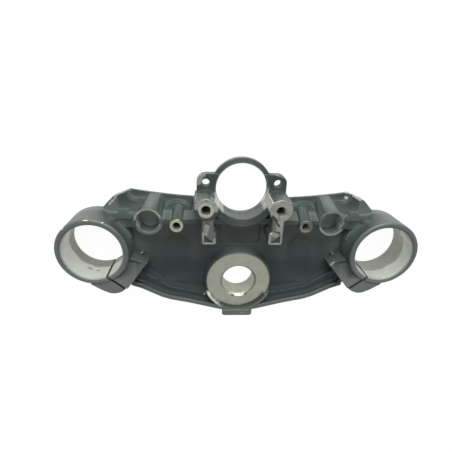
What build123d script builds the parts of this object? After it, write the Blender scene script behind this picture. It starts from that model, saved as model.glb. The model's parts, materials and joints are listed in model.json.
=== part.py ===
from build123d import *
import math
import os

# Upper triple clamp (fork yoke) of a motorcycle, one aluminium casting.
# It lies on its flat top face, with the ribbed underside up.
# Origin on the steering-stem axis at the top face.
# +X runs along the fork line, +Y to the ignition-lock ring, +Z out of the underside.

os.makedirs("parts", exist_ok=True)

# Fork clamps
fork_spacing = 205.0
fork_offset = 30.0
fork_diameter = 41.0
clamp_wall = 4.2
clamp_height = 28.0
clamp_bore_chamfer = 1.2
clamp_rim_chamfer = 0.9
clamp_top_chamfer = 2.0
collar_wall = 0.7
collar_height = 16.0
collar_end = 5.5

# Pinch slits and lugs; lobe points run along the slit and out from it
slit_width = 2.0
slit_run_out = 1.7
slit_start_angle = 247.0
slit_direction = 221.0
pinch_from_bore = 10.5
pinch_height = 15.0
pinch_clearance_diameter = 8.5
pinch_thread_diameter = 6.8
lug_step = 0.6
lug_round = 1.6
lobe_corner = 1.5
lobe_heel = (-17.0, 13.5)
lobe_back = (-5.3, 11.8)
lobe_shoulder = (-0.3, 10.4)
lobe_nose = (3.6, 7.0)
lobe_tip = (5.8, -0.5)
bar_length = 19.9
bar_skew = 17.0
bar_flat = 3.0
bar_end_height = 17.5
bar_outside = 6.3
bar_inside = 9.0
pinch_thread_depth = 15.0
bar_end_wall = 1.3
groove_length = 1.7
groove_floor = 15.6
groove_outside = 3.0
groove_inside = 7.0
nub = (72.6, 20.6)
nub_foot_diameter = 3.6
nub_sides = 8
nub_slope = 19.0
nub_rise = 2.6

# Plate, walls and webs
plate_thickness = 7.0
flange_thickness = 3.0
front_wall_height = 15.0
lip_height = 17.5
lip_wall = 3.6
lip_chamfer = 0.6
ledge_height = 12.5
ledge_round = 1.5
front_lean = 27.0
edge_chamfer = 1.0
tray_round = 2.5
web_turn_from_fork = 17.0
web_end_from_fork = 10.0
web_end_height = 26.0
web_start_drop = 1.0
web_back = 44.6
web_depth = 8.0
web_edge = 1.5
heel_height = 13.0
heel_width = 7.0
heel_from_fork = 19.0
heel_front = 58.8

# Soft hollows in the tray floor
pocket_floor = 4.8
pocket_slope = 62.0
pocket_x = 47.5
pocket_y = 15.0
pocket_width = 14.0
pocket_length = 33.0
pocket_corner = 6.5
middle_slope = 15.0
middle_y = 36.5
middle_width = 30.0
middle_length = 16.0
middle_corner = 3.0

# Steering stem
stem_bore_diameter = 24.5
stem_chamfer = 1.7
stem_face_height = 15.6
spot_face_diameter = 47.6
stem_boss_top_diameter = 49.6
stem_boss_foot_diameter = 53.0
stem_rim_diameter = 52.4
stem_rim_height = 17.5
stem_rim_start = -8.5
stem_rim_full = -12.5
tab_width = 23.4
tab_depth = 5.4
tab_round = 2.0
pin_mark = (25.7, -13.8)
pin_mark_diameter = 2.4
pin_mark_rise = 0.4

# Ignition-lock ring with its ears
ring_offset = 70.2
ring_bore_diameter = 36.8
ring_wall = 3.7
ring_height = 4.4
ring_relief = 0.4
ring_back_height = 16.0
ring_back_wall = 6.0
strip_y = 48.2
strip_depth = 2.6
strip_height = 14.0
ear_x = 25.6
ear_y = 74.5
ear_radius = 6.4
ear_height = 5.6
ear_hole_diameter = 5.6

# Lock bosses with their tails
lock_x = 25.3
lock_y = 61.4
lock_radius = 8.2
lock_front = 67.9
lock_height = 26.0
lock_hole_diameter = 6.6
lock_hole_depth = 20.0
lock_edge = 0.7
lock_corner = 3.0
tail_right = 28.0
neck_width = 8.4
foot_width = 9.8
foot_length = 9.4
foot_end = 36.0
foot_corner = 1.6
dent_margin = 1.6
dent_depth = 1.4

# Leaning fronts of the bosses, a step inside their rims
rim_step = 0.3
boss_foot_corner = 3.0

# Handlebar locating bosses
locator_x = 65.5
locator_y = 49.0
locator_height = 16.4
locator_hole_diameter = 16.0
locator_hole_depth = 12.0
locator_wall = 1.9
locator_foot = (61.0, 60.5)
locator_foot_size = (11.0, 13.0)

# Small threaded bosses
stud_x = 45.5
stud_y = 47.3
stud_height = 19.8
stud_diameter = 9.2
stud_hole_diameter = 5.5
stud_hole_depth = 14.0
stud_pad_radius = 14.0
stud_foot = (45.0, 58.2)
stud_foot_size = (7.6, 8.0)

# Flange step along the front edge
flange_inner = 34.5
flange_back = 54.0
flange_slope = 20.0
shoulder_round = 4.0
scallop_radius = 6.8

# Right half of the outline: places from the stem
front_start = (35.7, 63.4)
front_middle = (57.2, 65.3)
back_points = [(58.5, -13.4), (52.0, -15.8), (37.0, -19.1), (13.0, -25.5)]
wall_front = [(0.0, 60.0), (41.0, 57.8), (68.0, 57.8)]
tray_front = [(0.0, 47.2), (56.0, 47.2), (66.0, 44.0)]
ledge_line = [(70.0, 5.0), (52.0, -7.3), (30.0, -12.0), (10.0, -12.0)]

# Right half of the outline: places from the fork axis
front_corner = (-23.7, 38.2)
shoulder_corner = (-12.0, 33.4)
shoulder_end = (-4.8, 26.0)
scallop_place = (-28.5, 39.0)
hip_points = [(-21.1, -29.4), (-22.3, -33.0), (-29.3, -35.6)]
wall_corner = (-28.5, 20.0)
tray_corner = [(-25.5, 15.0), (-18.5, 10.0), (-18.5, -16.0)]

fork_x = fork_spacing / 2
bore_r = fork_diameter / 2
clamp_r = bore_r + clamp_wall
lug_height = clamp_height - lug_step
ring_r = ring_bore_diameter / 2
locator_r = locator_hole_diameter / 2 + locator_wall
stem_r = stem_bore_diameter / 2
lean = math.tan(math.radians(front_lean))
tall = 3 * clamp_height


def by_fork(point):
    """Place given from the right fork axis."""
    return (fork_x + point[0], fork_offset + point[1])


def face(*edges):
    """Closed face from the edges of its outline."""
    return make_face(Curve() + list(edges))


def mirrored(points):
    """Closed outline from the points of its right half."""
    return points + [(-x, y) for x, y in reversed(points)]


def both(solid):
    """A solid and its mirror image on the left."""
    return Part() + [solid, mirror(solid, about=Plane.YZ)]


def polygon(points):
    """Face on the points."""
    return make_face(Polyline(*points, close=True))


def pocket(sketch, floor, radius):
    """Cutter with a rounded floor edge."""
    cutter = extrude(Pos(0, 0, floor) * sketch, tall)
    return fillet(cutter.faces().sort_by(Axis.Z)[0].edges(), radius)


def leaning(sketch, height):
    """Prism that leans back from the front edge as it rises."""
    return extrude(sketch, height * math.hypot(1, lean), dir=(0, -lean, 1))


def leaning_boss(x, y, radius, height, foot, foot_size):
    """Round boss with a front that leans out to the plate's edge on its way down."""
    upright = extrude(Pos(x, y) * Circle(radius), height)
    rim = Pos(x, y, height - rim_step) * Circle(radius - rim_step)
    base = Pos(*foot, edge_chamfer) * RectangleRounded(*foot_size, boss_foot_corner)
    return upright + loft([base, rim])


def edged(sketch, height):
    """Upright prism with a small chamfer round its top."""
    block = extrude(sketch, height)
    return chamfer(block.faces().sort_by(Axis.Z)[-1].edges(), lock_edge)


def blind_hole(x, y, diameter, mouth, depth):
    """Cutter for a hole that ends in the metal."""
    return extrude(Pos(x, y, mouth - depth) * Circle(diameter / 2), tall)


def through_hole(x, y, diameter):
    """Cutter for a hole right through."""
    return Pos(x, y) * Cylinder(diameter / 2, 2 * tall)


# Outline of the whole casting, without its ring and clamps
fork = (fork_x, fork_offset)
corner = by_fork(front_corner)
shoulder_points = [corner, by_fork(shoulder_corner), by_fork(shoulder_end), fork]
front_edge = ThreePointArc(front_start, front_middle, corner)
shoulder_edge = FilletPolyline(*shoulder_points, radius=shoulder_round)
back_edge = Polyline(fork, *[by_fork(point) for point in hip_points], *back_points)
half_edges = [front_edge, shoulder_edge, back_edge]
left_edges = [mirror(edge, about=Plane.YZ) for edge in half_edges]
back_x, back_y = back_points[-1]
front_line = Line(front_start, (-front_start[0], front_start[1]))
back_line = Line((back_x, back_y), (-back_x, back_y))
outline = face(*half_edges, *left_edges, front_line, back_line)
trim = extrude(outline, tall)

# Plate, and the full-height body inside its outline
plate = extrude(outline, plate_thickness)
plate = chamfer(plate.faces().sort_by(Axis.Z)[0].edges(), edge_chamfer)
corner_x, corner_y = by_fork(wall_corner)
wall_outline = wall_front + [(corner_x, corner_y), (fork_x, corner_y), (fork_x, -tall)]
body = leaning(polygon(mirrored(wall_outline)), lip_height) & extrude(outline, lip_height)
body = body - Pos(0, fork_offset + tall / 2, front_wall_height + tall / 2) * Box(4 * tall, tall, tall)

# Tray: ledge level along the back, floor level in front of it
tray_outline = tray_front + [by_fork(point) for point in tray_corner]
tray_zone = polygon(mirrored(tray_outline + [(tray_outline[-1][0], -tall)]))
tray = tray_zone & offset(outline, -lip_wall)
floor = polygon(mirrored(tray_outline + ledge_line))
body = body - pocket(tray, ledge_height, ledge_round)
body = body - pocket(floor, plate_thickness, tray_round)
body = body - extrude(offset(floor, -tray_round), plate_thickness)
body = chamfer(body.edges().filter_by_position(Axis.Z, lip_height, lip_height), lip_chamfer)

# Flange step in front of the bosses, with round pads and a scallop at each corner
flange_rise = 2 * (plate_thickness - flange_thickness)
slope_run = flange_rise * math.tan(math.radians(flange_slope))
flange_middle = flange_thickness + flange_rise / 2
flange = Pos((flange_inner + locator_x) / 2, (flange_back + ring_offset) / 2, flange_middle)
flange = flange * Box(locator_x - flange_inner, ring_offset - flange_back, flange_rise)
pad = Cone(stud_pad_radius, stud_pad_radius - slope_run, flange_rise)
scallop = Cone(scallop_radius, scallop_radius + slope_run, flange_rise)
flange = flange - Pos(stud_x, stud_y, flange_middle) * pad
scallop_x, scallop_y = by_fork(scallop_place)
bridge = Pos((locator_x + scallop_x) / 2, scallop_y, flange_middle)
bridge = bridge * Box(scallop_x - locator_x, 2 * scallop_radius, flange_rise)
flange = flange + bridge + Pos(scallop_x, scallop_y, flange_middle) * scallop
plate = plate - both(flange)

# Soft hollows in the tray floor
pocket_place = Pos(pocket_x, pocket_y, pocket_floor)
pocket_base = pocket_place * RectangleRounded(pocket_width, pocket_length, pocket_corner)
plate = plate - both(extrude(pocket_base, plate_thickness, taper=-pocket_slope))
middle_base = Pos(0, middle_y, pocket_floor) * RectangleRounded(middle_width, middle_length, middle_corner)
plate = plate - extrude(middle_base, plate_thickness, taper=-middle_slope)

# Wide webs that climb from the locating bosses to the clamps, each with a leaning heel in front
web_side = [(locator_x, 0), (locator_x, locator_height - web_start_drop)]
web_side += [(fork_x - web_turn_from_fork, locator_height), (fork_x - web_end_from_fork, web_end_height)]
web_side += [(fork_x, web_end_height), (fork_x, 0)]
web = extrude(Plane.XZ.offset(-web_back) * polygon(web_side), -web_depth)
top_edges = web.edges().group_by(Axis.Y)[-1].filter_by(lambda edge: edge.center().Z > heel_height)
web = chamfer(top_edges, web_edge)
heel = Rectangle(heel_width, heel_front - web_back)
heel = Pos(fork_x - heel_from_fork, (web_back + heel_front) / 2) * heel
web = web + leaning(heel, heel_height)
yoke = plate + body + both(web)

# Steering-stem boss, its raised rim at the back, and the tab on the back lip
boss_rise = stem_face_height - pocket_floor
boss = Cone(stem_boss_foot_diameter / 2, stem_boss_top_diameter / 2, boss_rise)
boss = Pos(0, 0, pocket_floor + boss_rise / 2) * boss
tab = extrude(polygon(mirrored([(tab_width / 2, 0), (tab_width / 2, back_y - tab_depth)])), lip_height)
tab = fillet(tab.edges().filter_by(Axis.Z).group_by(Axis.Y)[0], tab_round)
pin = extrude(Pos(*pin_mark) * Circle(pin_mark_diameter / 2), ledge_height + pin_mark_rise)
rim_side = [(stem_rim_start, 0), (stem_rim_start, stem_face_height), (stem_rim_full, stem_rim_height)]
rim_side += [(-tall, stem_rim_height), (-tall, 0)]
rim = extrude(Plane.YZ * polygon(rim_side), tall, both=True)
rim = rim & extrude(Circle(stem_rim_diameter / 2), tall) & trim
yoke = yoke + (boss & trim) + rim + tab + both(pin)

# Locating bosses and small threaded bosses
locator = leaning_boss(locator_x, locator_y, locator_r, locator_height, locator_foot, locator_foot_size)
stud = leaning_boss(stud_x, stud_y, stud_diameter / 2, stud_height, stud_foot, stud_foot_size)
yoke = yoke + both(locator & trim) + both(stud & trim)

# Lock ring, its ears, and the wall behind it
ring = extrude(Pos(0, ring_offset) * Circle(ring_r + ring_wall), ring_height)
ear_right = ear_x + ear_radius
ear_top = ear_y + ear_radius
ear = polygon([(0, lock_y), (ear_right, lock_y), (ear_right, ear_top), (0, ear_top)])
ear = fillet(ear.vertices().group_by(Axis.X)[-1].group_by(Axis.Y)[-1], ear_radius)
back_ring = extrude(Pos(0, ring_offset) * Circle(ring_r + ring_back_wall), ring_back_height)
back_ring = back_ring & Pos(0, lock_y - tall / 2, tall / 2) * Box(2 * tall, tall, tall)
strip = Pos(0, strip_y, strip_height / 2) * Box(2 * lock_x, strip_depth, strip_height)
yoke = yoke + ring + both(extrude(ear, ear_height)) + back_ring + strip

# Lock bosses: a head with a flat front, a neck, and a foot with a dent
head = Pos(lock_x, (lock_y + lock_front) / 2) * Rectangle(2 * lock_radius, lock_front - lock_y)
head = fillet(head.vertices().group_by(Axis.Y)[-1], lock_corner)
head = Sketch() + [head, Pos(lock_x, lock_y) * Circle(lock_radius)]
neck = Pos(tail_right - neck_width / 2, (lock_y + foot_end) / 2 + foot_corner)
neck = neck * Rectangle(neck_width, lock_y - foot_end - 2 * foot_corner)
foot = Pos(tail_right - foot_width / 2, foot_end + foot_length / 2)
foot = foot * RectangleRounded(foot_width, foot_length, foot_corner)
island = Part() + [edged(head, lock_height), edged(neck, lock_height), edged(foot, lock_height)]
dent_left = tail_right - foot_width + dent_margin
dent_right = tail_right - dent_margin
dent_low = foot_end + dent_margin
dent_high = foot_end + foot_length - dent_margin
dent = polygon([(dent_left, dent_low), (dent_right, dent_low), (dent_right, dent_high)])
island = island - extrude(Pos(0, 0, lock_height - dent_depth) * dent, tall)
yoke = yoke + both(island)

# Fork clamps, each with a collar on the tray's side
clamp = extrude(Pos(fork_x, fork_offset) * Circle(clamp_r), clamp_height)
clamp = chamfer(clamp.edges().group_by(Axis.Z)[-1], clamp_rim_chamfer)
clamp = chamfer(clamp.edges().group_by(Axis.Z)[0], clamp_top_chamfer)
collar = extrude(Pos(fork_x, fork_offset) * Circle(clamp_r + collar_wall), collar_height)
collar_side = Pos(fork_x - tall / 2, (fork_offset + collar_end + web_back) / 2)
collar = collar & collar_side * Box(tall, web_back - fork_offset - collar_end, 2 * tall)
yoke = yoke + both(collar) + both(clamp)

# Pinch lugs: a lobe on the ring side of each slit, a ramped bar on the plate side
start = math.radians(slit_start_angle)
along = math.radians(slit_direction)
slit_x, slit_y = math.cos(along), math.sin(along)
axis_x, axis_y = slit_y, -slit_x
pinch_x = fork_x + bore_r * math.cos(start) + pinch_from_bore * slit_x
pinch_y = fork_offset + bore_r * math.sin(start) + pinch_from_bore * slit_y
lobe_plane = Plane(origin=(pinch_x, pinch_y, 0), x_dir=(slit_x, slit_y, 0), z_dir=(0, 0, 1))
lobe_side = Polyline(lobe_tip, (-pinch_from_bore, 0), lobe_heel, lobe_back, lobe_shoulder)
lobe = face(lobe_side, ThreePointArc(lobe_shoulder, lobe_nose, lobe_tip))
lobe = extrude(lobe_plane * fillet(lobe.vertices(), lobe_corner), lug_height)
lobe = fillet(lobe.faces().sort_by(Axis.Z)[-1].edges(), lug_round)
bar_origin = (pinch_x + bar_outside * slit_x, pinch_y + bar_outside * slit_y, 0)
bar_plane = Plane(origin=bar_origin, x_dir=(axis_x, axis_y, 0), z_dir=(-slit_x, -slit_y, 0))
bar_side = [(0, 0), (0, lug_height), (bar_flat, lug_height), (bar_length, bar_end_height)]
bar_side += [(2 * bar_length, bar_end_height), (2 * bar_length, 0)]
bar = extrude(bar_plane * polygon(bar_side), bar_outside + bar_inside)
end_origin = (pinch_x + bar_length * axis_x, pinch_y + bar_length * axis_y, 0)
end_plane = Plane(origin=end_origin, x_dir=(axis_x, axis_y, 0), z_dir=(0, 0, 1))
bar_end = end_plane.location * Rotation(0, 0, -bar_skew)
groove_y = (groove_outside - groove_inside) / 2
groove = Pos(-bar_end_wall - groove_length / 2, groove_y, groove_floor + tall / 2)
groove = groove * Box(groove_length, groove_outside + groove_inside, tall)
bar = bar - bar_end * Pos(tall / 2, 0, 0) * Box(tall, 2 * tall, 2 * tall) - bar_end * groove
bump = Pos(*nub, plate_thickness) * RegularPolygon(nub_foot_diameter / 2, nub_sides)
bump = extrude(bump, nub_rise, taper=nub_slope)
yoke = yoke + both(bar) + both(lobe) + both(bump)

# Fork bores, slits and pinch-bolt holes
mouth = Cone(bore_r, bore_r + clamp_bore_chamfer, clamp_bore_chamfer)
mouth = Pos(fork_x, fork_offset, clamp_height - clamp_bore_chamfer / 2) * mouth
top_mouth = Cone(bore_r + clamp_bore_chamfer, bore_r, clamp_bore_chamfer)
top_mouth = Pos(fork_x, fork_offset, clamp_bore_chamfer / 2) * top_mouth
yoke = yoke - both(through_hole(fork_x, fork_offset, fork_diameter)) - both(mouth) - both(top_mouth)
lug_plane = Plane(origin=(pinch_x, pinch_y, 0), x_dir=(slit_x, slit_y, 0), z_dir=(axis_x, axis_y, 0))
slit_length = clamp_wall + pinch_from_bore + bar_outside + slit_run_out
slit = lug_plane * Pos(slit_length / 2 - pinch_from_bore - clamp_wall, 0, 0)
yoke = yoke - both(slit * Box(slit_length, 2 * tall, slit_width))
clear_hole = Pos(0, pinch_height) * Circle(pinch_clearance_diameter / 2)
thread_hole = Pos(0, pinch_height) * Circle(pinch_thread_diameter / 2)
pinch_hole = extrude(lug_plane * clear_hole, -tall)
pinch_hole = pinch_hole + extrude(lug_plane * thread_hole, pinch_thread_depth)
yoke = yoke - both(pinch_hole)

# Stem bore with its spot face, lock ring and boss holes
yoke = yoke - extrude(Pos(0, 0, stem_face_height) * Circle(spot_face_diameter / 2), tall)
stem_mouth = Cone(stem_r, stem_r + stem_chamfer, stem_chamfer)
yoke = yoke - through_hole(0, 0, stem_bore_diameter)
yoke = yoke - Pos(0, 0, stem_face_height - stem_chamfer / 2) * stem_mouth
yoke = yoke - through_hole(0, ring_offset, ring_bore_diameter)
yoke = yoke - extrude(Pos(0, ring_offset, ring_height) * Circle(ring_r + ring_relief), tall)
yoke = yoke - both(through_hole(ear_x, ear_y, ear_hole_diameter))
yoke = yoke - both(blind_hole(lock_x, lock_y, lock_hole_diameter, lock_height, lock_hole_depth))
locator_hole = blind_hole(locator_x, locator_y, locator_hole_diameter, locator_height, locator_hole_depth)
yoke = yoke - both(locator_hole)
yoke = yoke - both(blind_hole(stud_x, stud_y, stud_hole_diameter, stud_height, stud_hole_depth))

export_step(yoke, "parts/upper_triple_clamp.step")
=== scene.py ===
import bmesh
import bpy
import json
import math
from mathutils import Matrix, Vector


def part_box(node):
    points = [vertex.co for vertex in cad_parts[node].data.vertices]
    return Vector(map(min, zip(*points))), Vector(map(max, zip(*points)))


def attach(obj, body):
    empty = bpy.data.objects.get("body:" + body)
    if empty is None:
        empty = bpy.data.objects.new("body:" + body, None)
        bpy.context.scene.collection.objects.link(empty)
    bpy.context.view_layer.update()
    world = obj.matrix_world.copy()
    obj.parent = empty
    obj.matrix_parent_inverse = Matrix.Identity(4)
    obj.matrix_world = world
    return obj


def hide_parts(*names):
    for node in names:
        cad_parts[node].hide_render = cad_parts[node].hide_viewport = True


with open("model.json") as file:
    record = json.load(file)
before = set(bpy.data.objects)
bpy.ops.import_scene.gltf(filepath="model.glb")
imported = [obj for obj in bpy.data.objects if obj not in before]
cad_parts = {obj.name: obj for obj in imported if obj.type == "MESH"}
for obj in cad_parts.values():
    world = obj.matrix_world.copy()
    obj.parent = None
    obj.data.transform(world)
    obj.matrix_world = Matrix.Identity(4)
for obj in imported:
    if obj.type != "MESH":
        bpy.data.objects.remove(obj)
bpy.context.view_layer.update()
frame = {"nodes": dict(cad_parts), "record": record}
mm = 0.001

# Places on the casting, read from the frame's mounts
mounts = {mount["name"]: mount for mount in frame["record"]["mounts"]}


def place(name):
    """Where a mount is, in metres."""
    return Vector(mounts[name]["pos_m"])


def radius(name, size="r_mm"):
    """Radius of a mount's bore or holes, in metres."""
    return mounts[name]["dims"][size] * mm


def pair(name):
    """Left and right places of a two-hole pattern."""
    reach = Vector((mounts[name]["dims"]["spacing_x_mm"] * mm / 2, 0, 0))
    return place(name) - reach, place(name) + reach


lock_left, lock_right = pair("lock_bolts")
stud_left, stud_right = pair("bracket_bolts")
fork_left, fork_right = place("fork_clamp_left"), place("fork_clamp_right")
locator_left, locator_right = place("bar_locator_left"), place("bar_locator_right")
stem, ring = place("stem_bore"), place("ignition_ring")
low_corner, high_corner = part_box("upper_triple_clamp")

# Heights and radii of the machined faces
clamp_chamfer_height = high_corner.z - 1.1 * mm
clamp_chamfer_width = 0.8 * mm
stem_face_height = 15.6 * mm
stem_face_radius = 23.9 * mm
stem_chamfer_width = 1.8 * mm
stem_foot_radius = 27.0 * mm
tray_height = 7.0 * mm
lock_face_radius = 8.0 * mm
lock_face_depth = 0.15 * mm
lock_ragged_left = 2.4 * mm
lock_ragged_right = 1.0 * mm
stud_face_radius = 4.7 * mm
stud_face_depth = 2.2 * mm
stud_ragged = 3.2 * mm
locator_top = 16.4 * mm
locator_lip = 0.6 * mm
locator_floor = 4.4 * mm
ring_wall_radius = 19.5 * mm
left_band_height = 11.0 * mm
right_band_height = 16.0 * mm
band_wave = 5.0 * mm
skin = 0.1 * mm

# Threads, and how the casting's mesh is joined
thread_pitch_lock = 1.25 * mm
thread_pitch_stud = 1.0 * mm
thread_depth_lock = 18.0 * mm
thread_depth_stud = 12.0 * mm
thread_start = 0.6 * mm
thread_crest = 0.32 * mm
thread_steps = 28
thread_corners = 4
corner_angle = math.radians(33)
join_distance = 0.001 * mm

# Soft steps in place: where each starts and ends, outward from the stem, across the casting or up
ledge_outward, ledge_across, ledge_height = (74 * mm, 70 * mm), (20 * mm, 10 * mm), (17 * mm, 16 * mm)
bar_outward, bar_across, bar_height = (74 * mm, 76 * mm), (24 * mm, 14 * mm), (17 * mm, 18 * mm)
foot_outward, foot_height = (86 * mm, 88 * mm), (12 * mm, 6 * mm)
dust_outward, dust_across = (25 * mm, 65 * mm, 0.35, 1.0), (10 * mm, 30 * mm)
boss_across = (-5 * mm, 5 * mm)
slit_outward = (70 * mm, 74 * mm)
left_to_right = (-10 * mm, 10 * mm)
band_edge = (-1 * mm, 1 * mm)
# Where the painted shade on the lit side of small holes starts and where it is full
lit_side_start, lit_side_full = 1 * mm, -2 * mm
locator_wall_height = (locator_floor, locator_floor + 1 * mm)
# Where the locator holes' walls change from painted shade to painted light
locator_front = (locator_left.y - 6 * mm, locator_left.y - 2 * mm)

# Soft steps in a mask or a noise: where each starts and ends, then its values there if not 0 and 1
# shade_by_shelter paints shade by shelter; fade_clouds fades the paint by cloudy noise
shade_by_shelter, fade_clouds = (0.13, 0.0), (0.25, 0.75, 0.85, 1.1)
dust_and_fill_shelter = (0.15, 0.48)
slit_shelter = (0.55, 0.85)
corner_shelter = (0.35, 0.75)
bare_patches = (0.3, 0.7)
stem_patches = (0.3, 0.75, 0.0, 0.3)
speckle_step = (0.53, 0.62, 0.0, 0.4)
satin_gloss = (0.2, 0.8, 0.42, 0.56)
bare_gloss = (0.2, 0.8, 0.40, 0.58)
thread_dirt = (0.35, 0.65, 0.25, 0.9)
thread_gloss = (0.2, 0.9, 0.35, 0.6)

# How far each shelter or edge mask looks
open_reach = 45.0 * mm
slit_reach = 3.0 * mm
corner_reach = 2.5 * mm
edge_reach = 0.6 * mm

# Noises: scale per metre, and detail
paint_clouds = (55.0, 5.0)
metal_patches = (150.0, 5.0)
gloss_patches = (240.0, 4.0)
tool_patches = (300.0, 3.0)
ragged_patches = (420.0, 4.0)
lock_speckle = (480.0, 5.0)
thread_patches = (500.0, 4.0)
flake_patches = (620.0, 5.0)
flake_gaps = (1100.0, 4.0)
noise_middle = 0.5

# Lost paint: how ragged its edge is, how full its middle is, and the soft steps at its edge and gaps
flake_spread = 0.8
flake_core = 0.5
flake_edge = (1.08, 0.92)
gap_edge = (0.0, 0.1)

# Worn edges, and the skin of the casting
edge_scale, edge_detail = 260.0, 6.0
edge_shelter = (0.92, 0.55)
edge_limit = 0.62
edge_step = (-0.04, 0.06)
grain_scale, grain_detail = 1300.0, 3.0
broad_share, broad_detail = 0.16, 2.0
fine_height = 0.4

# Rays that the shelter, edge and rounding nodes send out
shelter_rays = 16
edge_rays = 8
rounding_rays = 6

# Strength of each effect, from 0 to 1
ledge_shade = 0.6
web_shade = 0.8
boss_dust = 0.12
slit_pale_share = 0.85
# foot_pale: paler low on the clamps' outer walls; ring_wall_light: painted light on the lock ring's wall
foot_pale = 0.35
ring_wall_light = 0.2
bar_scuff = 0.18
smudge_shade = 0.7
edge_amount = 0.32
edge_bare = 0.3
patch_dirt = 0.25
lock_ring_shine = 0.6
grime_shade = 0.9
dirt_shade = 0.8
corner_dirt_and_shade = 0.5
bare_metallic = 0.7
thread_metallic = 0.3
matt_roughness = 0.9

# Relief
relief_strength = 0.22
relief_depth = 0.12 * mm
edge_rounding = 0.35 * mm
tool_pitch = 0.9 * mm
tool_relief = 0.15

# Colours, as linear light
# paint_deep_shade is painted shade for shut-in places; paint_open is the paler, faded paint of open places
paint_deep_shade = (0.023, 0.033, 0.033, 1)
paint_open = (0.087, 0.099, 0.090, 1)
# Pale paint of scuffs, also used for painted light on chamfers and the lock ring's wall
paint_scuffed_and_lit = (0.19, 0.205, 0.195, 1)
# Paler grey where shut in deepest: dust, and painted fill light against the shade there
dust_and_fill_grey = (0.088, 0.114, 0.104, 1)
# Pale paint deep in narrow gaps on the clamps
slit_pale = (0.36, 0.39, 0.37, 1)
# Painted light and shade in the locator holes: darker on the wall that faces the window, lighter on the
# shaded walls and floors
locator_lit_wall_darkened = (0.072, 0.092, 0.086, 1)
locator_shaded_wall_lightened = (0.34, 0.43, 0.40, 1)
locator_floor_lightened_left = (0.20, 0.250, 0.230, 1)
locator_floor_lightened_right = (0.20, 0.245, 0.228, 1)
bare_grey = (0.37, 0.375, 0.33, 1)
# Bright bare metal of chips and worn rims, also used for painted highlights
bare_bright_and_highlight = (0.60, 0.61, 0.57, 1)
bore_light = (0.55, 0.565, 0.52, 1)
bore_dull = (0.25, 0.26, 0.225, 1)
bore_worn = (0.53, 0.545, 0.495, 1)
# Stained bore grey, also used for painted highlights on the lock ring's wall
bore_stain_and_sheen = (0.31, 0.32, 0.275, 1)
stem_cream = (0.405, 0.416, 0.342, 1)
stud_cream = (0.42, 0.46, 0.35, 1)
thread_grey = (0.34, 0.33, 0.28, 1)
# thread_pale_fill: pale thread roots in the lock holes, painted fill light against the shade inside them
thread_pale_fill = (0.66, 0.645, 0.57, 1)
# hole_shade_brown: painted shade on the side of a bolt hole that the window lights
hole_shade_brown = (0.15, 0.148, 0.126, 1)
grime_olive = (0.042, 0.042, 0.034, 1)
primer_brown = (0.050, 0.043, 0.032, 1)
# Brown dirt, also used for painted shade in corners and along the stem bore's chamfer
dirt_and_shade_brown = (0.060, 0.058, 0.045, 1)

# Marks along a line: start and end in millimetres, half width, and the share that is covered
clamp_chips = [
    ((-119.4, 47.3, 27.6), (-118.6, 48.1, 27.6), 0.50, 0.45),
    ((-104.8, 54.0, 27.6), (-102.4, 54.2, 27.6), 0.45, 0.30),
    ((-93.2, 53.0, 27.4), (-92.5, 52.5, 27.3), 0.45, 0.40),
]
shoulder_wear = [
    ((-93.0, 59.5, 3.5), (-88.5, 64.2, 3.2), 3.0, 0.32),
    ((-88.0, 64.6, 3.0), (-79.6, 68.2, 2.6), 2.6, 0.32),
    ((-86.6, 65.4, 5.0), (-79.6, 68.2, 2.6), 1.8, 0.42),
    ((56.0, 66.4, 4.0), (72.0, 69.2, 4.0), 1.0, 0.40),
]
shoulder_chips = [
    ((-93.0, 58.0, 7.0), (-87.4, 64.6, 6.6), 1.9, 0.20),
    ((75.2, 69.2, 3.0), (80.6, 67.8, 3.4), 1.2, 0.50),
    ((82.2, 67.2, 6.2), (87.2, 64.4, 7.0), 1.4, 0.55),
    ((77.4, 64.6, 3.0), (78.8, 64.0, 3.0), 1.0, 0.60),
]
ear_wear = [
    ((-27.2, 80.2, 5.6), (-29.6, 79.2, 5.6), 1.5, 0.60),
    ((-29.6, 79.2, 5.6), (-30.8, 74.8, 5.6), 2.2, 0.60),
    ((24.0, 80.8, 5.4), (31.0, 78.6, 5.4), 0.7, 0.40),
]
left_lock_wear = [
    ((-24.4, 51.0, 26.0), (-25.6, 44.0, 26.0), 1.8, 0.50),
    ((-27.2, 44.6, 26.0), (-27.2, 37.4, 26.0), 0.9, 0.60),
    ((-26.6, 36.8, 26.0), (-19.6, 36.8, 26.0), 1.0, 0.60),
    ((-19.0, 37.2, 26.0), (-18.9, 40.5, 26.0), 1.0, 0.55),
]
right_lock_wear = [
    ((25.2, 55.5, 26.0), (25.6, 46.5, 26.0), 3.0, 0.60),
    ((20.6, 44.6, 26.0), (27.0, 42.6, 26.0), 2.2, 0.45),
    ((18.9, 43.0, 26.0), (18.9, 37.6, 26.0), 1.0, 0.55),
    ((19.4, 36.8, 26.0), (27.0, 36.8, 26.0), 1.0, 0.60),
    ((27.3, 37.4, 26.0), (27.3, 44.0, 26.0), 0.9, 0.55),
]
lock_dirt = [
    ((-31.8, 60.6, 26.0), (-30.0, 56.0, 26.0), 1.2, 0.70),
    ((-29.0, 55.0, 26.0), (-23.5, 52.6, 26.0), 1.6, 0.65),
    ((-21.4, 54.8, 26.0), (-19.0, 58.2, 26.0), 1.3, 0.70),
    ((20.0, 56.8, 26.0), (22.2, 54.6, 26.0), 1.5, 0.70),
    ((23.0, 52.8, 26.0), (24.8, 50.6, 26.0), 0.8, 0.60),
    ((20.8, 47.0, 26.0), (25.6, 45.4, 26.0), 0.9, 0.40),
]
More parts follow.
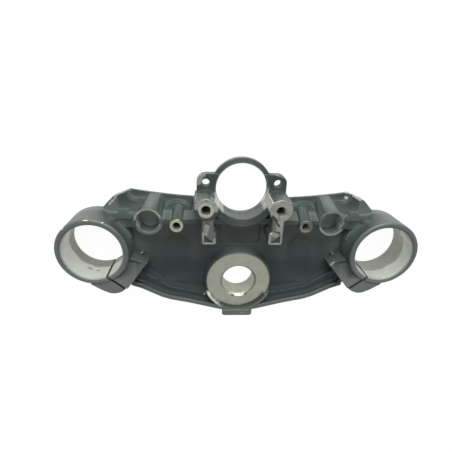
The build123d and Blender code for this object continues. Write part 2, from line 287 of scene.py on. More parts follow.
# Pale lines: rubbed paint, and painted highlights along edges of the lock blocks' fronts and the back lip
scuffs_and_highlights = [
    ((69.2, 15.4, 17.6), (71.4, 17.6, 17.6), 0.9, 0.45),
    ((-72.6, 20.6, 9.6), (-72.2, 21.4, 9.6), 0.9, 0.50),
    ((72.6, 20.6, 9.6), (72.2, 21.4, 9.6), 0.8, 0.40),
    ((-25.7, -13.8, 12.9), (-25.5, -13.8, 12.9), 1.2, 0.50),
    ((-31.4, 67.9, 10.8), (-19.6, 67.9, 9.2), 0.5, 0.50),
    ((19.9, 67.9, 9.2), (31.2, 67.9, 10.8), 0.5, 0.50),
    ((-32.0, 67.2, 14.5), (-32.4, 65.6, 25.0), 0.9, 0.50),
    ((-21.2, 68.4, 22.0), (-19.8, 67.6, 23.0), 1.3, 0.50),
    ((-11.0, -26.0, 17.5), (9.5, -26.0, 17.5), 0.5, 0.50),
    ((3.0, -28.6, 17.5), (6.4, -28.4, 17.5), 0.5, 0.40),
]
smudges = [((81.3, 10.9, 24.4), (82.2, 10.1, 24.7), 1.7, 0.60)]
# Painted shade and matt paint on the sloped webs by the clamps, where the window shines
shaded_dull_webs = [
    ((-75.0, 51.6, 15.5), (-88.0, 51.6, 15.8), 1.9, 0.95),
    ((75.0, 51.6, 15.5), (88.0, 51.6, 15.8), 1.9, 0.95),
]
# Painted highlights: a bright stripe and patches on the right fork bore's wall
bore_painted_highlights = [
    ((120.4, 39.9, 14.0), (121.4, 37.8, 25.0), 1.5, 0.55),
    ((119.8, 19.0, 19.0), (113.4, 12.6, 17.2), 1.6, 0.30),
]
bore_stains = [
    ((-111.1, 11.4, 15.0), (-108.3, 10.3, 15.6), 0.7, 0.50),
    ((-104.5, 9.6, 16.2), (-102.5, 9.5, 16.3), 0.6, 0.50),
]
stem_spots = [
    ((-4.4, -12.9, 15.4), (-3.2, -13.2, 15.4), 0.9, 0.70),
    ((5.8, -12.3, 15.4), (6.8, -11.8, 15.4), 0.9, 0.70),
]
# A cream mark at the stem bore's mouth
stem_mouth_mark = [((1.0, -13.6, 15.4), (3.2, -13.5, 15.4), 0.7, 0.80)]

# Marks round a rim: centre, radius and half width in millimetres, lowest height, middle and half angle
# in degrees, and the share that is covered
worn_rims = [
    (locator_left, 9.1, 0.8, 16.2, 95, 75, 0.45),
    (stud_right, 3.3, 0.35, 19.6, 235, 80, 0.55),
    (stud_right, 4.7, 0.25, 19.0, 100, 150, 0.40),
]
scuffed_rims = [
    (locator_left, 8.3, 0.3, 16.2, 270, 75, 0.55),
    (locator_left, 9.7, 0.3, 16.2, 280, 65, 0.50),
    (locator_right, 8.4, 0.4, 16.2, 55, 60, 0.50),
    (locator_right, 9.6, 0.3, 16.2, 85, 60, 0.50),
    (locator_right, 9.0, 0.8, 16.2, 265, 60, 0.50),
]
# The stem's rim is worn bright; the two arcs on the lock ring's inner wall are painted highlights
bright_rims_and_highlights = [
    (stem, 24.8, 1.0, 15.9, 220, 17, 0.80),
    (ring, 18.5, 0.5, 2.0, 203, 8, 0.40),
    (ring, 18.4, 0.4, 2.0, 338, 6, 0.35),
]
# Painted highlights: paler paint down both ends of the lock ring's inner wall
ring_flank_highlights = [
    (ring, 18.8, 0.8, 0.5, 343, 15, 0.90),
    (ring, 18.8, 0.8, 0.5, 207, 16, 0.90),
]
# Painted shade along both sides of the stem bore's chamfer, and darker paint low on the spot face's wall in
# two places
stem_dirt_and_shade = [
    (stem, 13.2, 0.5, 14.0, 350, 50, 0.35),
    (stem, 13.0, 0.3, 14.0, 190, 40, 0.30),
    (stem, 23.8, 1.4, 15.3, 268, 30, 0.70),
    (stem, 23.2, 1.5, 15.3, 306, 22, 0.60),
]
lock_grime = [(lock_left, 6.8, 1.5, 25.8, 265, 82, 0.50)]
lock_shine = [(lock_left, 4.3, 1.1, 25.8, 90, 180, 0.45)]
rim_end = 0.06
rim_overlap = 0.07


class Nodes:
    """Short ways to add nodes to one tree."""

    def __init__(self, tree):
        self.tree = tree

    def feed(self, socket, value):
        """Links a socket, or sets its own value."""
        if isinstance(value, bpy.types.NodeSocket):
            self.tree.links.new(value, socket)
        else:
            socket.default_value = value

    def add(self, kind, inputs=None, **settings):
        """A node with its settings, and with its inputs given by name or number."""
        node = self.tree.nodes.new(kind)
        for name, value in settings.items():
            setattr(node, name, value)
        for name, value in (inputs or {}).items():
            self.feed(node.inputs[name], value)
        return node

    def math(self, operation, first, second=0.0):
        """One sum."""
        return self.add("ShaderNodeMath", {0: first, 1: second}, operation=operation).outputs[0]

    def held(self, value):
        """A value kept between 0 and 1."""
        return self.add("ShaderNodeClamp", {"Value": value}).outputs["Result"]

    def vector(self, operation, first, second=(0, 0, 0)):
        """One vector sum."""
        node = self.add("ShaderNodeVectorMath", {0: first, 1: second}, operation=operation)
        return node.outputs["Value" if operation in ("LENGTH", "DOT_PRODUCT") else "Vector"]

    def scaled(self, vector, share):
        """A vector times a number."""
        node = self.add("ShaderNodeVectorMath", {0: vector, "Scale": share}, operation="SCALE")
        return node.outputs["Vector"]

    def ramp(self, value, start, end, low=0.0, high=1.0):
        """A soft step from low at start to high at end."""
        limits = {"Value": value, "From Min": start, "From Max": end, "To Min": low, "To Max": high}
        node = self.add("ShaderNodeMapRange", limits, interpolation_type="SMOOTHSTEP", clamp=False)
        return node.outputs["Result"]

    def mix(self, factor, first, second):
        """A mix of two colours."""
        node = self.add("ShaderNodeMix", data_type="RGBA")
        for socket, value in zip((node.inputs[0], node.inputs[6], node.inputs[7]), (factor, first, second)):
            self.feed(socket, value)
        return node.outputs[2]

    def blend(self, factor, first, second):
        """A mix of two numbers."""
        node = self.add("ShaderNodeMix", data_type="FLOAT")
        for socket, value in zip((node.inputs[0], node.inputs[2], node.inputs[3]), (factor, first, second)):
            self.feed(socket, value)
        return node.outputs[0]

    def joined(self, operation, values):
        """Several values joined one after the other by a sum."""
        result = None
        for value in values:
            result = self.math(operation, result, value) if result else value
        return result

    def largest(self, masks):
        """The strongest of several masks at each point."""
        return self.joined("MAXIMUM", masks)

    def overlap(self, masks):
        """The product of several masks at each point."""
        return self.joined("MULTIPLY", masks)

    def less(self, mask, other):
        """A mask with another taken out of it."""
        return self.math("MULTIPLY", mask, self.math("SUBTRACT", 1.0, other))

    def object_place(self):
        """The point on the object that is shaded."""
        return self.add("ShaderNodeTexCoord").outputs["Object"]

    def parts(self, point):
        """X, Y and Z of a point."""
        return self.add("ShaderNodeSeparateXYZ", {0: point}).outputs

    def off_axis(self, point, axis):
        """The level offset of a point from an upright axis."""
        return self.vector("MULTIPLY", self.vector("SUBTRACT", point, axis), (1, 1, 0))

    def noise(self, scale, detail, where=None):
        """Cloudy noise from 0 to 1."""
        inputs = {"Vector": where or self.object_place(), "Scale": scale, "Detail": detail}
        return self.add("ShaderNodeTexNoise", inputs).outputs["Fac"]

    def broken(self, point, reach, cover):
        """Lost paint: whole where reach is 0, ragged towards 1, and thinner where the cover is low."""
        flakes = self.math("SUBTRACT", self.noise(*flake_patches, point), noise_middle)
        ragged = self.math("ADD", reach, self.math("MULTIPLY", flakes, flake_spread))
        inner = self.math("MULTIPLY", self.math("SUBTRACT", 1.0, reach), flake_core)
        keep = self.math("SUBTRACT", self.math("ADD", cover, inner), self.noise(*flake_gaps, point))
        return self.math("MULTIPLY", self.ramp(ragged, *flake_edge), self.ramp(keep, *gap_edge))


def shader_group(name, inputs, output):
    """An empty node group with named inputs and one output."""
    tree = bpy.data.node_groups.new(name, "ShaderNodeTree")
    for label, value in inputs.items():
        kind = "NodeSocketFloat" if isinstance(value, float) else "NodeSocketVector"
        tree.interface.new_socket(name=label, in_out="INPUT", socket_type=kind).default_value = value
    tree.interface.new_socket(name=output, in_out="OUTPUT", socket_type="NodeSocketFloat")
    nodes = Nodes(tree)
    given, result = nodes.add("NodeGroupInput").outputs, nodes.add("NodeGroupOutput").inputs[output]
    return tree, nodes, given, result


def round_face_group():
    """A mask for a round machined face or bore on an upright axis, with a ragged edge."""
    tree, nodes, given, result = shader_group("round_face", {
        "Axis": (0, 0, 0), "Radius": 0.01, "Lowest": -1.0, "Highest": 1.0, "Ragged": 0.0}, "Mask")
    point = nodes.object_place()
    out = nodes.vector("LENGTH", nodes.off_axis(point, given["Axis"]))
    rough = nodes.math("SUBTRACT", nodes.noise(*ragged_patches, point), noise_middle)
    edge = nodes.math("ADD", out, nodes.math("MULTIPLY", rough, given["Ragged"]))
    height = nodes.parts(point)["Z"]
    within = nodes.ramp(nodes.math("SUBTRACT", edge, given["Radius"]), skin, -skin)
    above = nodes.ramp(nodes.math("SUBTRACT", height, given["Lowest"]), -skin, skin)
    below = nodes.ramp(nodes.math("SUBTRACT", given["Highest"], height), -skin, skin)
    nodes.feed(result, nodes.overlap([within, above, below]))
    return tree


def worn_streak_group():
    """A mask for paint lost along a line."""
    tree, nodes, given, result = shader_group("worn_streak", {
        "Start": (0, 0, 0), "End": (0, 0, 0.001), "Half width": 0.001, "Cover": 0.7}, "Mask")
    point = nodes.object_place()
    run = nodes.vector("SUBTRACT", given["End"], given["Start"])
    offset = nodes.vector("SUBTRACT", point, given["Start"])
    ahead, length = nodes.vector("DOT_PRODUCT", offset, run), nodes.vector("DOT_PRODUCT", run, run)
    nearest = nodes.scaled(run, nodes.held(nodes.math("DIVIDE", ahead, length)))
    distance = nodes.vector("LENGTH", nodes.vector("SUBTRACT", offset, nearest))
    reach = nodes.math("DIVIDE", distance, given["Half width"])
    nodes.feed(result, nodes.broken(point, reach, given["Cover"]))
    return tree


def worn_rim_group():
    """A mask for paint lost along an arc of a round rim."""
    tree, nodes, given, result = shader_group("worn_rim", {
        "Axis": (0, 0, 0), "Middle": (1, 0, 0), "Half angle": 3.2, "Radius": 0.01, "Half width": 0.001,
        "Lowest": 0.0, "Cover": 0.7}, "Mask")
    point = nodes.object_place()
    off_axis = nodes.off_axis(point, given["Axis"])
    past_rim = nodes.math("SUBTRACT", nodes.vector("LENGTH", off_axis), given["Radius"])
    from_rim = nodes.math("ABSOLUTE", past_rim)
    cosine = nodes.vector("DOT_PRODUCT", nodes.vector("NORMALIZE", off_axis), given["Middle"])
    turned = nodes.math("SUBTRACT", nodes.math("ARCCOSINE", cosine), given["Half angle"])
    height = nodes.math("SUBTRACT", nodes.parts(point)["Z"], given["Lowest"])
    lost = nodes.broken(point, nodes.math("DIVIDE", from_rim, given["Half width"]), given["Cover"])
    nodes.feed(result, nodes.overlap([
        lost, nodes.ramp(turned, rim_end, -rim_end), nodes.ramp(height, -skin, skin)]))
    return tree


def edge_wear_group():
    """A mask that grows on outer edges, broken up by noise."""
    tree, nodes, given, result = shader_group("edge_wear", {
        "Reach": 0.0008, "Amount": 0.5, "Patch scale": 300.0}, "Mask")
    hidden = nodes.add("ShaderNodeAmbientOcclusion", {"Distance": given["Reach"]},
                       inside=True, only_local=True, samples=edge_rays).outputs["AO"]
    edge = nodes.overlap([nodes.ramp(hidden, *edge_shelter), nodes.noise(given["Patch scale"], edge_detail)])
    limit = nodes.math("MULTIPLY", nodes.math("SUBTRACT", 1.0, given["Amount"]), edge_limit)
    nodes.feed(result, nodes.ramp(nodes.math("SUBTRACT", edge, limit), *edge_step))
    return tree


def shelter_group():
    """How far a place is shut in by the walls around it: 0 in the open, 1 in a corner."""
    tree, nodes, given, result = shader_group("shelter", {"Reach": 0.01}, "Mask")
    sky = nodes.add("ShaderNodeAmbientOcclusion", {"Distance": given["Reach"]},
                    only_local=True, samples=shelter_rays).outputs["AO"]
    nodes.feed(result, nodes.math("SUBTRACT", 1.0, sky))
    return tree


def cast_skin_group():
    """Height of the fine skin that a casting keeps under its paint."""
    tree, nodes, given, result = shader_group("cast_skin", {"Grain scale": 1400.0}, "Height")
    fine = nodes.noise(given["Grain scale"], grain_detail)
    broad = nodes.noise(nodes.math("MULTIPLY", given["Grain scale"], broad_share), broad_detail)
    nodes.feed(result, nodes.math("ADD", nodes.math("MULTIPLY", fine, fine_height), broad))
    return tree


def tool_marks_group():
    """Height of the fine rings that a turning tool leaves on a face or in a bore."""
    tree, nodes, given, result = shader_group("tool_marks", {"Axis": (0, 0, 0), "Pitch": 0.0008}, "Height")
    point = nodes.object_place()
    out = nodes.vector("LENGTH", nodes.off_axis(point, given["Axis"]))
    travel = nodes.math("ADD", out, nodes.parts(point)["Z"])
    turns = nodes.math("DIVIDE", nodes.math("MULTIPLY", travel, math.tau), given["Pitch"])
    nodes.feed(result, nodes.overlap([nodes.math("SINE", turns), nodes.noise(*tool_patches, point)]))
    return tree


groups = {make.__name__: make() for make in
          (round_face_group, worn_streak_group, worn_rim_group, edge_wear_group, shelter_group,
           cast_skin_group, tool_marks_group)}


def grouped(nodes, name, **values):
    """The output of one of the groups above, with its inputs set."""
    node = nodes.add("ShaderNodeGroup", node_tree=groups[name])
    for label, value in values.items():
        nodes.feed(node.inputs[label.replace("_", " ")], value)
    return node.outputs[0]


def round_face(nodes, axis, reach, **limits):
    """Mask of one round face, bore or hole."""
    return grouped(nodes, "round_face_group", Axis=axis, Radius=reach, **limits)


def shelter(nodes, reach):
    """Mask of the places that are shut in within a reach."""
    return grouped(nodes, "shelter_group", Reach=reach)


def streaks(nodes, lines):
    """Mask of a list of marks along lines."""
    return nodes.largest(
        grouped(nodes, "worn_streak_group", Start=Vector(start) * mm, End=Vector(end) * mm,
                Half_width=width * mm, Cover=cover)
        for start, end, width, cover in lines)


def rims(nodes, arcs):
    """Mask of a list of marks round rims."""
    return nodes.largest(
        grouped(nodes, "worn_rim_group", Axis=centre, Radius=size * mm, Half_width=width * mm,
                Lowest=lowest * mm, Cover=cover,
                Middle=(math.cos(math.radians(middle)), math.sin(math.radians(middle)), 0),
                Half_angle=math.radians(half_angle) + rim_overlap)
        for centre, size, width, lowest, middle, half_angle, cover in arcs)


def hole_mask(nodes, pattern):
    """Mask of the walls and floors of a pattern's holes."""
    reach = radius(pattern, "hole_r_mm") + skin
    return nodes.largest(round_face(nodes, mouth, reach, Highest=mouth.z - skin) for mouth in pair(pattern))


def machined_zones(nodes):
    """Masks of the faces and bores that were cut after painting, by name."""
    fork_reach = radius("fork_clamp_left") + skin
    stem_reach = radius("stem_bore") + skin + stem_chamfer_width
    stem_top = stem_face_height + 2 * skin
    lock_level = lock_left.z - lock_face_depth
    stud_level = stud_left.z - stud_face_depth
    return {
        "forks": nodes.largest(
            round_face(nodes, fork, fork_reach, Highest=clamp_chamfer_height)
            for fork in (fork_left, fork_right)),
        "stem": nodes.largest([
            round_face(nodes, stem, stem_face_radius, Lowest=stem_face_height - 3 * skin, Highest=stem_top,
                       Ragged=2 * skin),
            round_face(nodes, stem, stem_reach, Highest=stem_top)]),
        "locks": nodes.largest([
            round_face(nodes, lock_left, lock_face_radius, Lowest=lock_level, Ragged=lock_ragged_left),
            round_face(nodes, lock_right, lock_face_radius, Lowest=lock_level, Ragged=lock_ragged_right),
            streaks(nodes, left_lock_wear + right_lock_wear)]),
        "lock_holes": hole_mask(nodes, "lock_bolts"),
        "stud_holes": hole_mask(nodes, "bracket_bolts"),
        "stud": round_face(nodes, stud_left, stud_face_radius, Lowest=stud_level, Ragged=stud_ragged),
    }


def ledge_mask(nodes, where):
    """The stepped ledge and the back of the tray."""
    along, across, height = where
    outward = nodes.math("ABSOLUTE", along)
    return nodes.overlap([
        nodes.ramp(height, *ledge_height), nodes.ramp(outward, *ledge_outward),
        nodes.ramp(across, *ledge_across)])


def hole_lit_side(nodes, hole, across):
    """The half of a small hole's wall that faces the window, where brown painted shade goes."""
    return nodes.ramp(across, hole.y + lit_side_start, hole.y + lit_side_full)


def shaded_faded_paint(nodes, where, clouds):
    """Paint that is pale and faded in the open and turns dark where walls shut it in, as painted shade, with
    paler dust and painted fill light in the deepest corners.
    """
    outward, across = nodes.math("ABSOLUTE", where["X"]), where["Y"]
    shut_in = shelter(nodes, open_reach)
    # Painted shade: where the walls shut a place in the paint goes dark; in the open it is the paler, faded
    # paint
    open_and_faded = nodes.held(nodes.overlap([nodes.ramp(shut_in, *shade_by_shelter), nodes.ramp(clouds, *fade_clouds)]))
    ledge = nodes.overlap([ledge_mask(nodes, where), ledge_shade])
    paint = nodes.mix(nodes.less(open_and_faded, ledge), paint_deep_shade, paint_open)
    # Paler where shut in deepest, towards the outer ends and the front: dust, and painted fill light against
    # the shade there
    dust_and_fill = nodes.overlap([
        nodes.ramp(shut_in, *dust_and_fill_shelter), nodes.ramp(outward, *dust_outward),
        nodes.ramp(across, *dust_across)])
    boss = nodes.overlap([
        round_face(nodes, stem, stem_foot_radius, Lowest=tray_height + 2 * skin,
                   Highest=stem_face_height - skin),
        nodes.ramp(across, *boss_across), boss_dust])
    return nodes.mix(nodes.math("MAXIMUM", dust_and_fill, boss), paint, dust_and_fill_grey)


def pale_paint_mask(nodes, where):
    """Where paint is pale: rubbed on the clamps' bars and in scuffs, paler low on the clamps' feet, and
    painted light on the bore chamfers, the lock ring's wall and some of the scuff lines.
    """
    along, across, height = where
    outward = nodes.math("ABSOLUTE", along)
    chamfer_reach = radius("fork_clamp_left") + clamp_chamfer_width
    # Painted light on the fork bores' chamfers, which face away from the window
    chamfers_lightened = nodes.largest(
        round_face(nodes, fork, chamfer_reach, Lowest=clamp_chamfer_height - skin)
        for fork in (fork_left, fork_right))
    bars = nodes.overlap([
        nodes.ramp(outward, *bar_outward), nodes.ramp(height, *bar_height), nodes.ramp(across, *bar_across),
        bar_scuff])
    # Paler low on the clamps' outer walls
    feet = nodes.overlap([nodes.ramp(outward, *foot_outward), nodes.ramp(height, *foot_height), foot_pale])
    # Painted light on the lock ring's wall
    wall = nodes.overlap([round_face(nodes, ring, ring_wall_radius), ring_wall_light])
    return nodes.largest([chamfers_lightened, bars, feet, wall, streaks(nodes, scuffs_and_highlights), rims(nodes, scuffed_rims)])


def paint_colour(nodes, where, clouds):
    """Faded paint with pale and dark marks, paler narrow gaps on the clamps, and locator holes painted with
    light and shade: darker on the wall the window lights, lighter on the shaded walls and floors.
    """
    along, across, height = where
    paint = shaded_faded_paint(nodes, where, clouds)
    paint = nodes.mix(pale_paint_mask(nodes, where), paint, paint_scuffed_and_lit)
    # Painted shade on the sloped webs, which face the window
    paint = nodes.mix(nodes.overlap([streaks(nodes, shaded_dull_webs), web_shade]), paint, paint_deep_shade)
    # Painted highlights at both ends of the lock ring's inner wall
    paint = nodes.mix(rims(nodes, ring_flank_highlights), paint, bore_stain_and_sheen)
    # Paler paint deep in narrow gaps on the clamps
    slits = nodes.overlap([
        nodes.ramp(shelter(nodes, slit_reach), *slit_shelter),
        nodes.ramp(nodes.math("ABSOLUTE", along), *slit_outward), slit_pale_share])
    paint = nodes.mix(slits, paint, slit_pale)
    # Painted light and shade: the locator holes' walls are darker where the window lights them and lighter in
    # shade, and their floors are lighter
    wall = nodes.mix(nodes.ramp(across, *locator_front), locator_lit_wall_darkened, locator_shaded_wall_lightened)
    above_floor = nodes.ramp(height, *locator_wall_height)
    hole_reach = radius("bar_locator_left") + skin
    for hole, bottom in ((locator_left, locator_floor_lightened_left), (locator_right, locator_floor_lightened_right)):
        inside = round_face(nodes, hole, hole_reach, Highest=locator_top - locator_lip)
        paint = nodes.mix(inside, paint, nodes.mix(above_floor, bottom, wall))
    return nodes.mix(nodes.overlap([streaks(nodes, smudges), smudge_shade]), paint, primer_brown)


def metal_colour(nodes, zones, where, bright_and_highlights):
    """Banded fork bores, a cream stem face and stud, bright rims, and dirt at the edges."""
    along, across, height = where
    patches = nodes.noise(*metal_patches)
    wave = nodes.math("MULTIPLY", nodes.math("SUBTRACT", patches, noise_middle), band_wave)
    side = nodes.ramp(along, *left_to_right)
    band = nodes.blend(side, left_band_height, right_band_height)
    upper = nodes.ramp(nodes.math("SUBTRACT", nodes.math("ADD", height, wave), band), *band_edge)
    bores = nodes.mix(upper, nodes.mix(side, bore_dull, bore_stain_and_sheen), nodes.mix(side, bore_light, bore_worn))
    stained = nodes.mix(patch_dirt, bare_grey, dirt_and_shade_brown)
    metal = nodes.mix(nodes.ramp(patches, *bare_patches), bare_grey, stained)
    speckle = nodes.overlap([nodes.ramp(nodes.noise(*lock_speckle), *speckle_step), zones["locks"]])
    metal = nodes.mix(speckle, metal, dirt_and_shade_brown)
    metal = nodes.mix(zones["forks"], metal, bores)
    stem_face = nodes.mix(nodes.ramp(patches, *stem_patches), stem_cream, bore_dull)
    metal = nodes.mix(zones["stem"], metal, stem_face)
    cream = nodes.math("MAXIMUM", zones["stud"], streaks(nodes, stem_mouth_mark))
    metal = nodes.mix(cream, metal, stud_cream)
    metal = nodes.mix(bright_and_highlights, metal, bare_bright_and_highlight)
    metal = nodes.mix(nodes.overlap([rims(nodes, lock_shine), lock_ring_shine]), metal, bore_worn)
    # Painted light and shade in the bolt holes: brown on the side the window lights, and for the lock holes a
    # pale painted fill on the shaded side
    for zone, mouth, shaded_side in (("lock_holes", lock_left, bore_light), ("stud_holes", stud_left, thread_grey)):
        metal = nodes.mix(zones[zone], metal, nodes.mix(hole_lit_side(nodes, mouth, across), shaded_side, hole_shade_brown))
    grime = nodes.math("MAXIMUM", rims(nodes, lock_grime), streaks(nodes, lock_dirt))
    metal = nodes.mix(nodes.overlap([grime, grime_shade]), metal, grime_olive)
    # Painted shade along the stem bore's chamfer and on the spot face's wall, with stains and spots
    dirt = nodes.math("MAXIMUM", rims(nodes, stem_dirt_and_shade), streaks(nodes, stem_spots + bore_stains))
    # Darker in the corners of the bare metal: dirt and painted shade
    corners = nodes.ramp(shelter(nodes, corner_reach), *corner_shelter)
    dirt = nodes.math("MAXIMUM", nodes.overlap([dirt, dirt_shade]), nodes.overlap([corners, corner_dirt_and_shade]))
    return nodes.mix(dirt, metal, dirt_and_shade_brown)


def painted_casting():
    """Satin green-grey paint, worn through on rims and edges, with bare machined faces."""
    material = bpy.data.materials.new("worn_paint")
    material.use_nodes = True
    nodes = Nodes(material.node_tree)
    shader = material.node_tree.nodes["Principled BSDF"]
    where = nodes.parts(nodes.object_place())
    clouds = nodes.noise(*paint_clouds)

    # Where the metal shows
    zones = machined_zones(nodes)
    # Bright bare metal: chips on the clamps and shoulders, with painted highlights in the right fork bore
    # and, through the bright rims, on the lock ring's wall
    chips_and_highlights = streaks(nodes, clamp_chips + shoulder_chips + bore_painted_highlights)
    bright_and_highlights = nodes.math("MAXIMUM", rims(nodes, bright_rims_and_highlights), chips_and_highlights)
    edges = grouped(nodes, "edge_wear_group", Reach=edge_reach, Amount=edge_amount, Patch_scale=edge_scale)
    worn = nodes.largest([
        nodes.overlap([edges, edge_bare]), bright_and_highlights, rims(nodes, worn_rims),
        streaks(nodes, shoulder_wear + ear_wear)])
    bare = nodes.largest(list(zones.values()) + [worn])

    # Colour, shine and gloss
    paint = paint_colour(nodes, where, clouds)
    metal = metal_colour(nodes, zones, where, bright_and_highlights)
    nodes.feed(shader.inputs["Base Color"], nodes.mix(bare, paint, metal))
    nodes.feed(shader.inputs["Metallic"], nodes.overlap([bare, bare_metallic]))
    matt = nodes.math("MAXIMUM", streaks(nodes, shaded_dull_webs), ledge_mask(nodes, where))
    satin = nodes.blend(matt, nodes.ramp(clouds, *satin_gloss), matt_roughness)
    dull = nodes.ramp(nodes.noise(*gloss_patches), *bare_gloss)
    nodes.feed(shader.inputs["Roughness"], nodes.blend(bare, satin, dull))

    # Relief: the casting's skin under paint, tool marks on the stem's face
    cut = nodes.math("MAXIMUM", zones["stem"], zones["forks"])
    grain = nodes.less(grouped(nodes, "cast_skin_group", Grain_scale=grain_scale), cut)
    turned = grouped(nodes, "tool_marks_group", Axis=stem, Pitch=tool_pitch)
    relief = nodes.math("ADD", grain, nodes.overlap([turned, zones["stem"], tool_relief]))
    rounded = nodes.add("ShaderNodeBevel", {"Radius": edge_rounding}, samples=rounding_rays).outputs["Normal"]
    bump = nodes.add("ShaderNodeBump", {
        "Strength": relief_strength, "Distance": relief_depth, "Height": relief, "Normal": rounded})
    nodes.feed(shader.inputs["Normal"], bump.outputs["Normal"])
    return material


def bare_thread(name, mouth, roots):
    """Cut thread: bare metal with dirt in its roots, and brown painted shade on the side of the hole that the
    window lights.
    """
    material = bpy.data.materials.new(name)
    material.use_nodes = True
    nodes = Nodes(material.node_tree)
    shader = material.node_tree.nodes["Principled BSDF"]
    dirt = nodes.ramp(nodes.noise(*thread_patches), *thread_dirt)
    lit_side = hole_lit_side(nodes, mouth, nodes.parts(nodes.object_place())["Y"])
    nodes.feed(shader.inputs["Base Color"], nodes.mix(lit_side, nodes.mix(dirt, bare_grey, roots), hole_shade_brown))
    shader.inputs["Metallic"].default_value = thread_metallic
    nodes.feed(shader.inputs["Roughness"], nodes.ramp(dirt, *thread_gloss))
    return material


def casting(node, material):
    """The casting's mesh with its triangles joined, smooth on curved walls and sharp at corners."""
    mesh = node.data.copy()
    mesh.name = "casting"
    shape = bmesh.new()
    shape.from_mesh(mesh)
    bmesh.ops.remove_doubles(shape, verts=shape.verts, dist=join_distance)
    for face in shape.faces:
        face.smooth = True
        face.material_index = 0
    for edge in shape.edges:
        edge.smooth = len(edge.link_faces) == 2 and edge.calc_face_angle() < corner_angle
    shape.to_mesh(mesh)
    shape.free()
    mesh.materials.clear()
    mesh.materials.append(material)
    piece = bpy.data.objects.new("casting", mesh)
    bpy.context.scene.collection.objects.link(piece)
    return piece


def thread_tree(material):
    """Geometry Nodes: a coiled ridge set in every hole of a group."""
    tree = bpy.data.node_groups.new("hole_thread", "GeometryNodeTree")
    tree.interface.new_socket(name="Geometry", in_out="INPUT", socket_type="NodeSocketGeometry")
    for label in ("Hole radius", "Depth", "Pitch", "Crest"):
        tree.interface.new_socket(name=label, in_out="INPUT", socket_type="NodeSocketFloat")
    tree.interface.new_socket(name="Geometry", in_out="OUTPUT", socket_type="NodeSocketGeometry")
    nodes = Nodes(tree)
    given = nodes.add("NodeGroupInput").outputs
    turns = nodes.math("DIVIDE", given["Depth"], given["Pitch"])
    coil = nodes.add("GeometryNodeCurveSpiral", {
        "Resolution": thread_steps, "Rotations": turns, "Start Radius": given["Hole radius"],
        "End Radius": given["Hole radius"], "Height": given["Depth"]}).outputs[0]
    ridge = nodes.add("GeometryNodeCurvePrimitiveCircle", {
        "Resolution": thread_corners, "Radius": given["Crest"]}).outputs[0]
    solid = nodes.add("GeometryNodeCurveToMesh", {
        "Curve": coil, "Profile Curve": ridge, "Fill Caps": True}).outputs[0]
    placed = nodes.add("GeometryNodeInstanceOnPoints", {
        "Points": given["Geometry"], "Instance": solid}).outputs[0]
    real = nodes.add("GeometryNodeRealizeInstances", {0: placed}).outputs[0]
    finished = nodes.add("GeometryNodeSetMaterial", {"Geometry": real, "Material": material}).outputs[0]
    nodes.feed(nodes.add("NodeGroupOutput").inputs[0], finished)
    return tree


def threads(name, tree, mouths, sizes):
    """One plain mesh with the threads of a group of like holes."""
    points = bpy.data.meshes.new(name + "_points")
    points.from_pydata([mouth - Vector((0, 0, sizes["Depth"] + thread_start)) for mouth in mouths], [], [])
    holder = bpy.data.objects.new(name + "_points", points)
    bpy.context.scene.collection.objects.link(holder)
    modifier = holder.modifiers.new("thread", "NODES")
    modifier.node_group = tree
    for item in tree.interface.items_tree:
        if item.in_out == "INPUT" and item.name in sizes:
            modifier[item.identifier] = sizes[item.name]
    evaluated = holder.evaluated_get(bpy.context.evaluated_depsgraph_get())
    mesh = bpy.data.meshes.new_from_object(evaluated)
    bpy.data.objects.remove(holder)
    mesh.name = name
    piece = bpy.data.objects.new(name, mesh)
    bpy.context.scene.collection.objects.link(piece)
    return piece


yoke = casting(frame["nodes"]["upper_triple_clamp"], painted_casting())
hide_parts("upper_triple_clamp")
pieces = [yoke]
for name, holes, roots, depth, pitch in (
        ("lock", "lock_bolts", thread_pale_fill, thread_depth_lock, thread_pitch_lock),
        ("stud", "bracket_bolts", thread_grey, thread_depth_stud, thread_pitch_stud)):
    mouths = pair(holes)
    tree = thread_tree(bare_thread(name + "_thread", mouths[0], roots))
    pieces.append(threads(name + "_threads", tree, mouths, {
        "Hole radius": radius(holes, "hole_r_mm"), "Depth": depth, "Pitch": pitch, "Crest": thread_crest}))
for piece in pieces:
    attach(piece, "root")

# Floor, light and camera
floor_size = 8.0
floor_grey = (0.9, 0.9, 0.9, 1)
floor_roughness = 0.9
floor_glow = 1.05
glow_share = 0.9
white = (1, 1, 1, 1)
room_light = 0.6
window_place = Vector((0.05, 1.15, 0.55))
window_size = 0.9
window_power = 21.0
camera_place = Vector((-0.0258, 0.1407, 0.2312))
camera_tilt, camera_lean, camera_roll = math.radians(23.682), math.radians(3.943), math.radians(-2.149)
film_width = 36
photo_width_pixels = 452
lens_pixels = 332.44
nearest_seen = 0.01


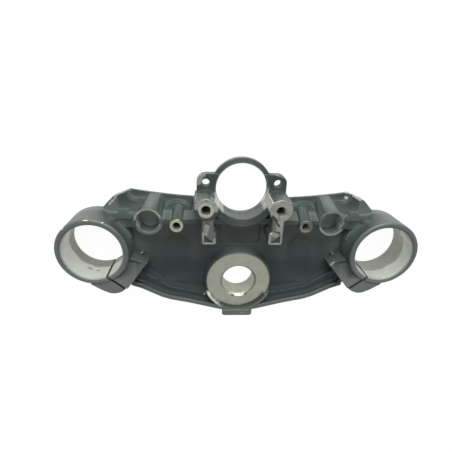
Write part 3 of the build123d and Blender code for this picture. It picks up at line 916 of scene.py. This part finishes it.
def white_floor():
    """Floor that the camera and reflections see as white, and that keeps a soft shadow."""
    material = bpy.data.materials.new("white_floor")
    material.use_nodes = True
    nodes = Nodes(material.node_tree)
    shader = material.node_tree.nodes["Principled BSDF"]
    shader.inputs["Base Color"].default_value = floor_grey
    shader.inputs["Roughness"].default_value = floor_roughness
    rays = nodes.add("ShaderNodeLightPath").outputs
    seen = nodes.largest([rays["Is Camera Ray"], rays["Is Glossy Ray"], rays["Is Transmission Ray"]])
    glow = nodes.add("ShaderNodeEmission", {"Color": white, "Strength": floor_glow}).outputs[0]
    both = nodes.add("ShaderNodeMixShader", {
        0: nodes.overlap([seen, glow_share]), 1: shader.outputs[0], 2: glow})
    nodes.feed(material.node_tree.nodes["Material Output"].inputs["Surface"], both.outputs[0])
    return material


def soft_lamp(name, where, aim, size, power):
    """A large square lamp that points at the part."""
    lamp = bpy.data.lights.new(name, "AREA")
    lamp.shape = "SQUARE"
    lamp.size = size
    lamp.energy = power
    holder = bpy.data.objects.new(name, lamp)
    holder.location = where
    holder.rotation_euler = (aim - where).to_track_quat("-Z", "Y").to_euler()
    bpy.context.scene.collection.objects.link(holder)


bpy.ops.mesh.primitive_plane_add(size=floor_size)
floor = bpy.context.object
floor.name = "floor"
floor.data.materials.append(white_floor())

world = bpy.data.worlds.new("soft_room")
bpy.context.scene.world = world
world.use_nodes = True
world.node_tree.nodes["Background"].inputs["Color"].default_value = white
world.node_tree.nodes["Background"].inputs["Strength"].default_value = room_light
soft_lamp("window", window_place, (low_corner + high_corner) / 2, window_size, window_power)

tilted = Matrix.Rotation(camera_tilt, 3, "X") @ Matrix.Rotation(camera_lean, 3, "Y")
camera_turn = Matrix.Rotation(camera_roll, 3, "Z") @ tilted
view = bpy.data.cameras.new("photo_view")
view.sensor_width = film_width
view.lens = film_width * lens_pixels / photo_width_pixels
view.clip_start = nearest_seen
camera = bpy.data.objects.new("photo_view", view)
camera.matrix_world = Matrix.Translation(camera_place) @ camera_turn.transposed().to_4x4()
bpy.context.scene.collection.objects.link(camera)
bpy.context.scene.camera = camera
bpy.context.scene.view_settings.view_transform = "Standard"
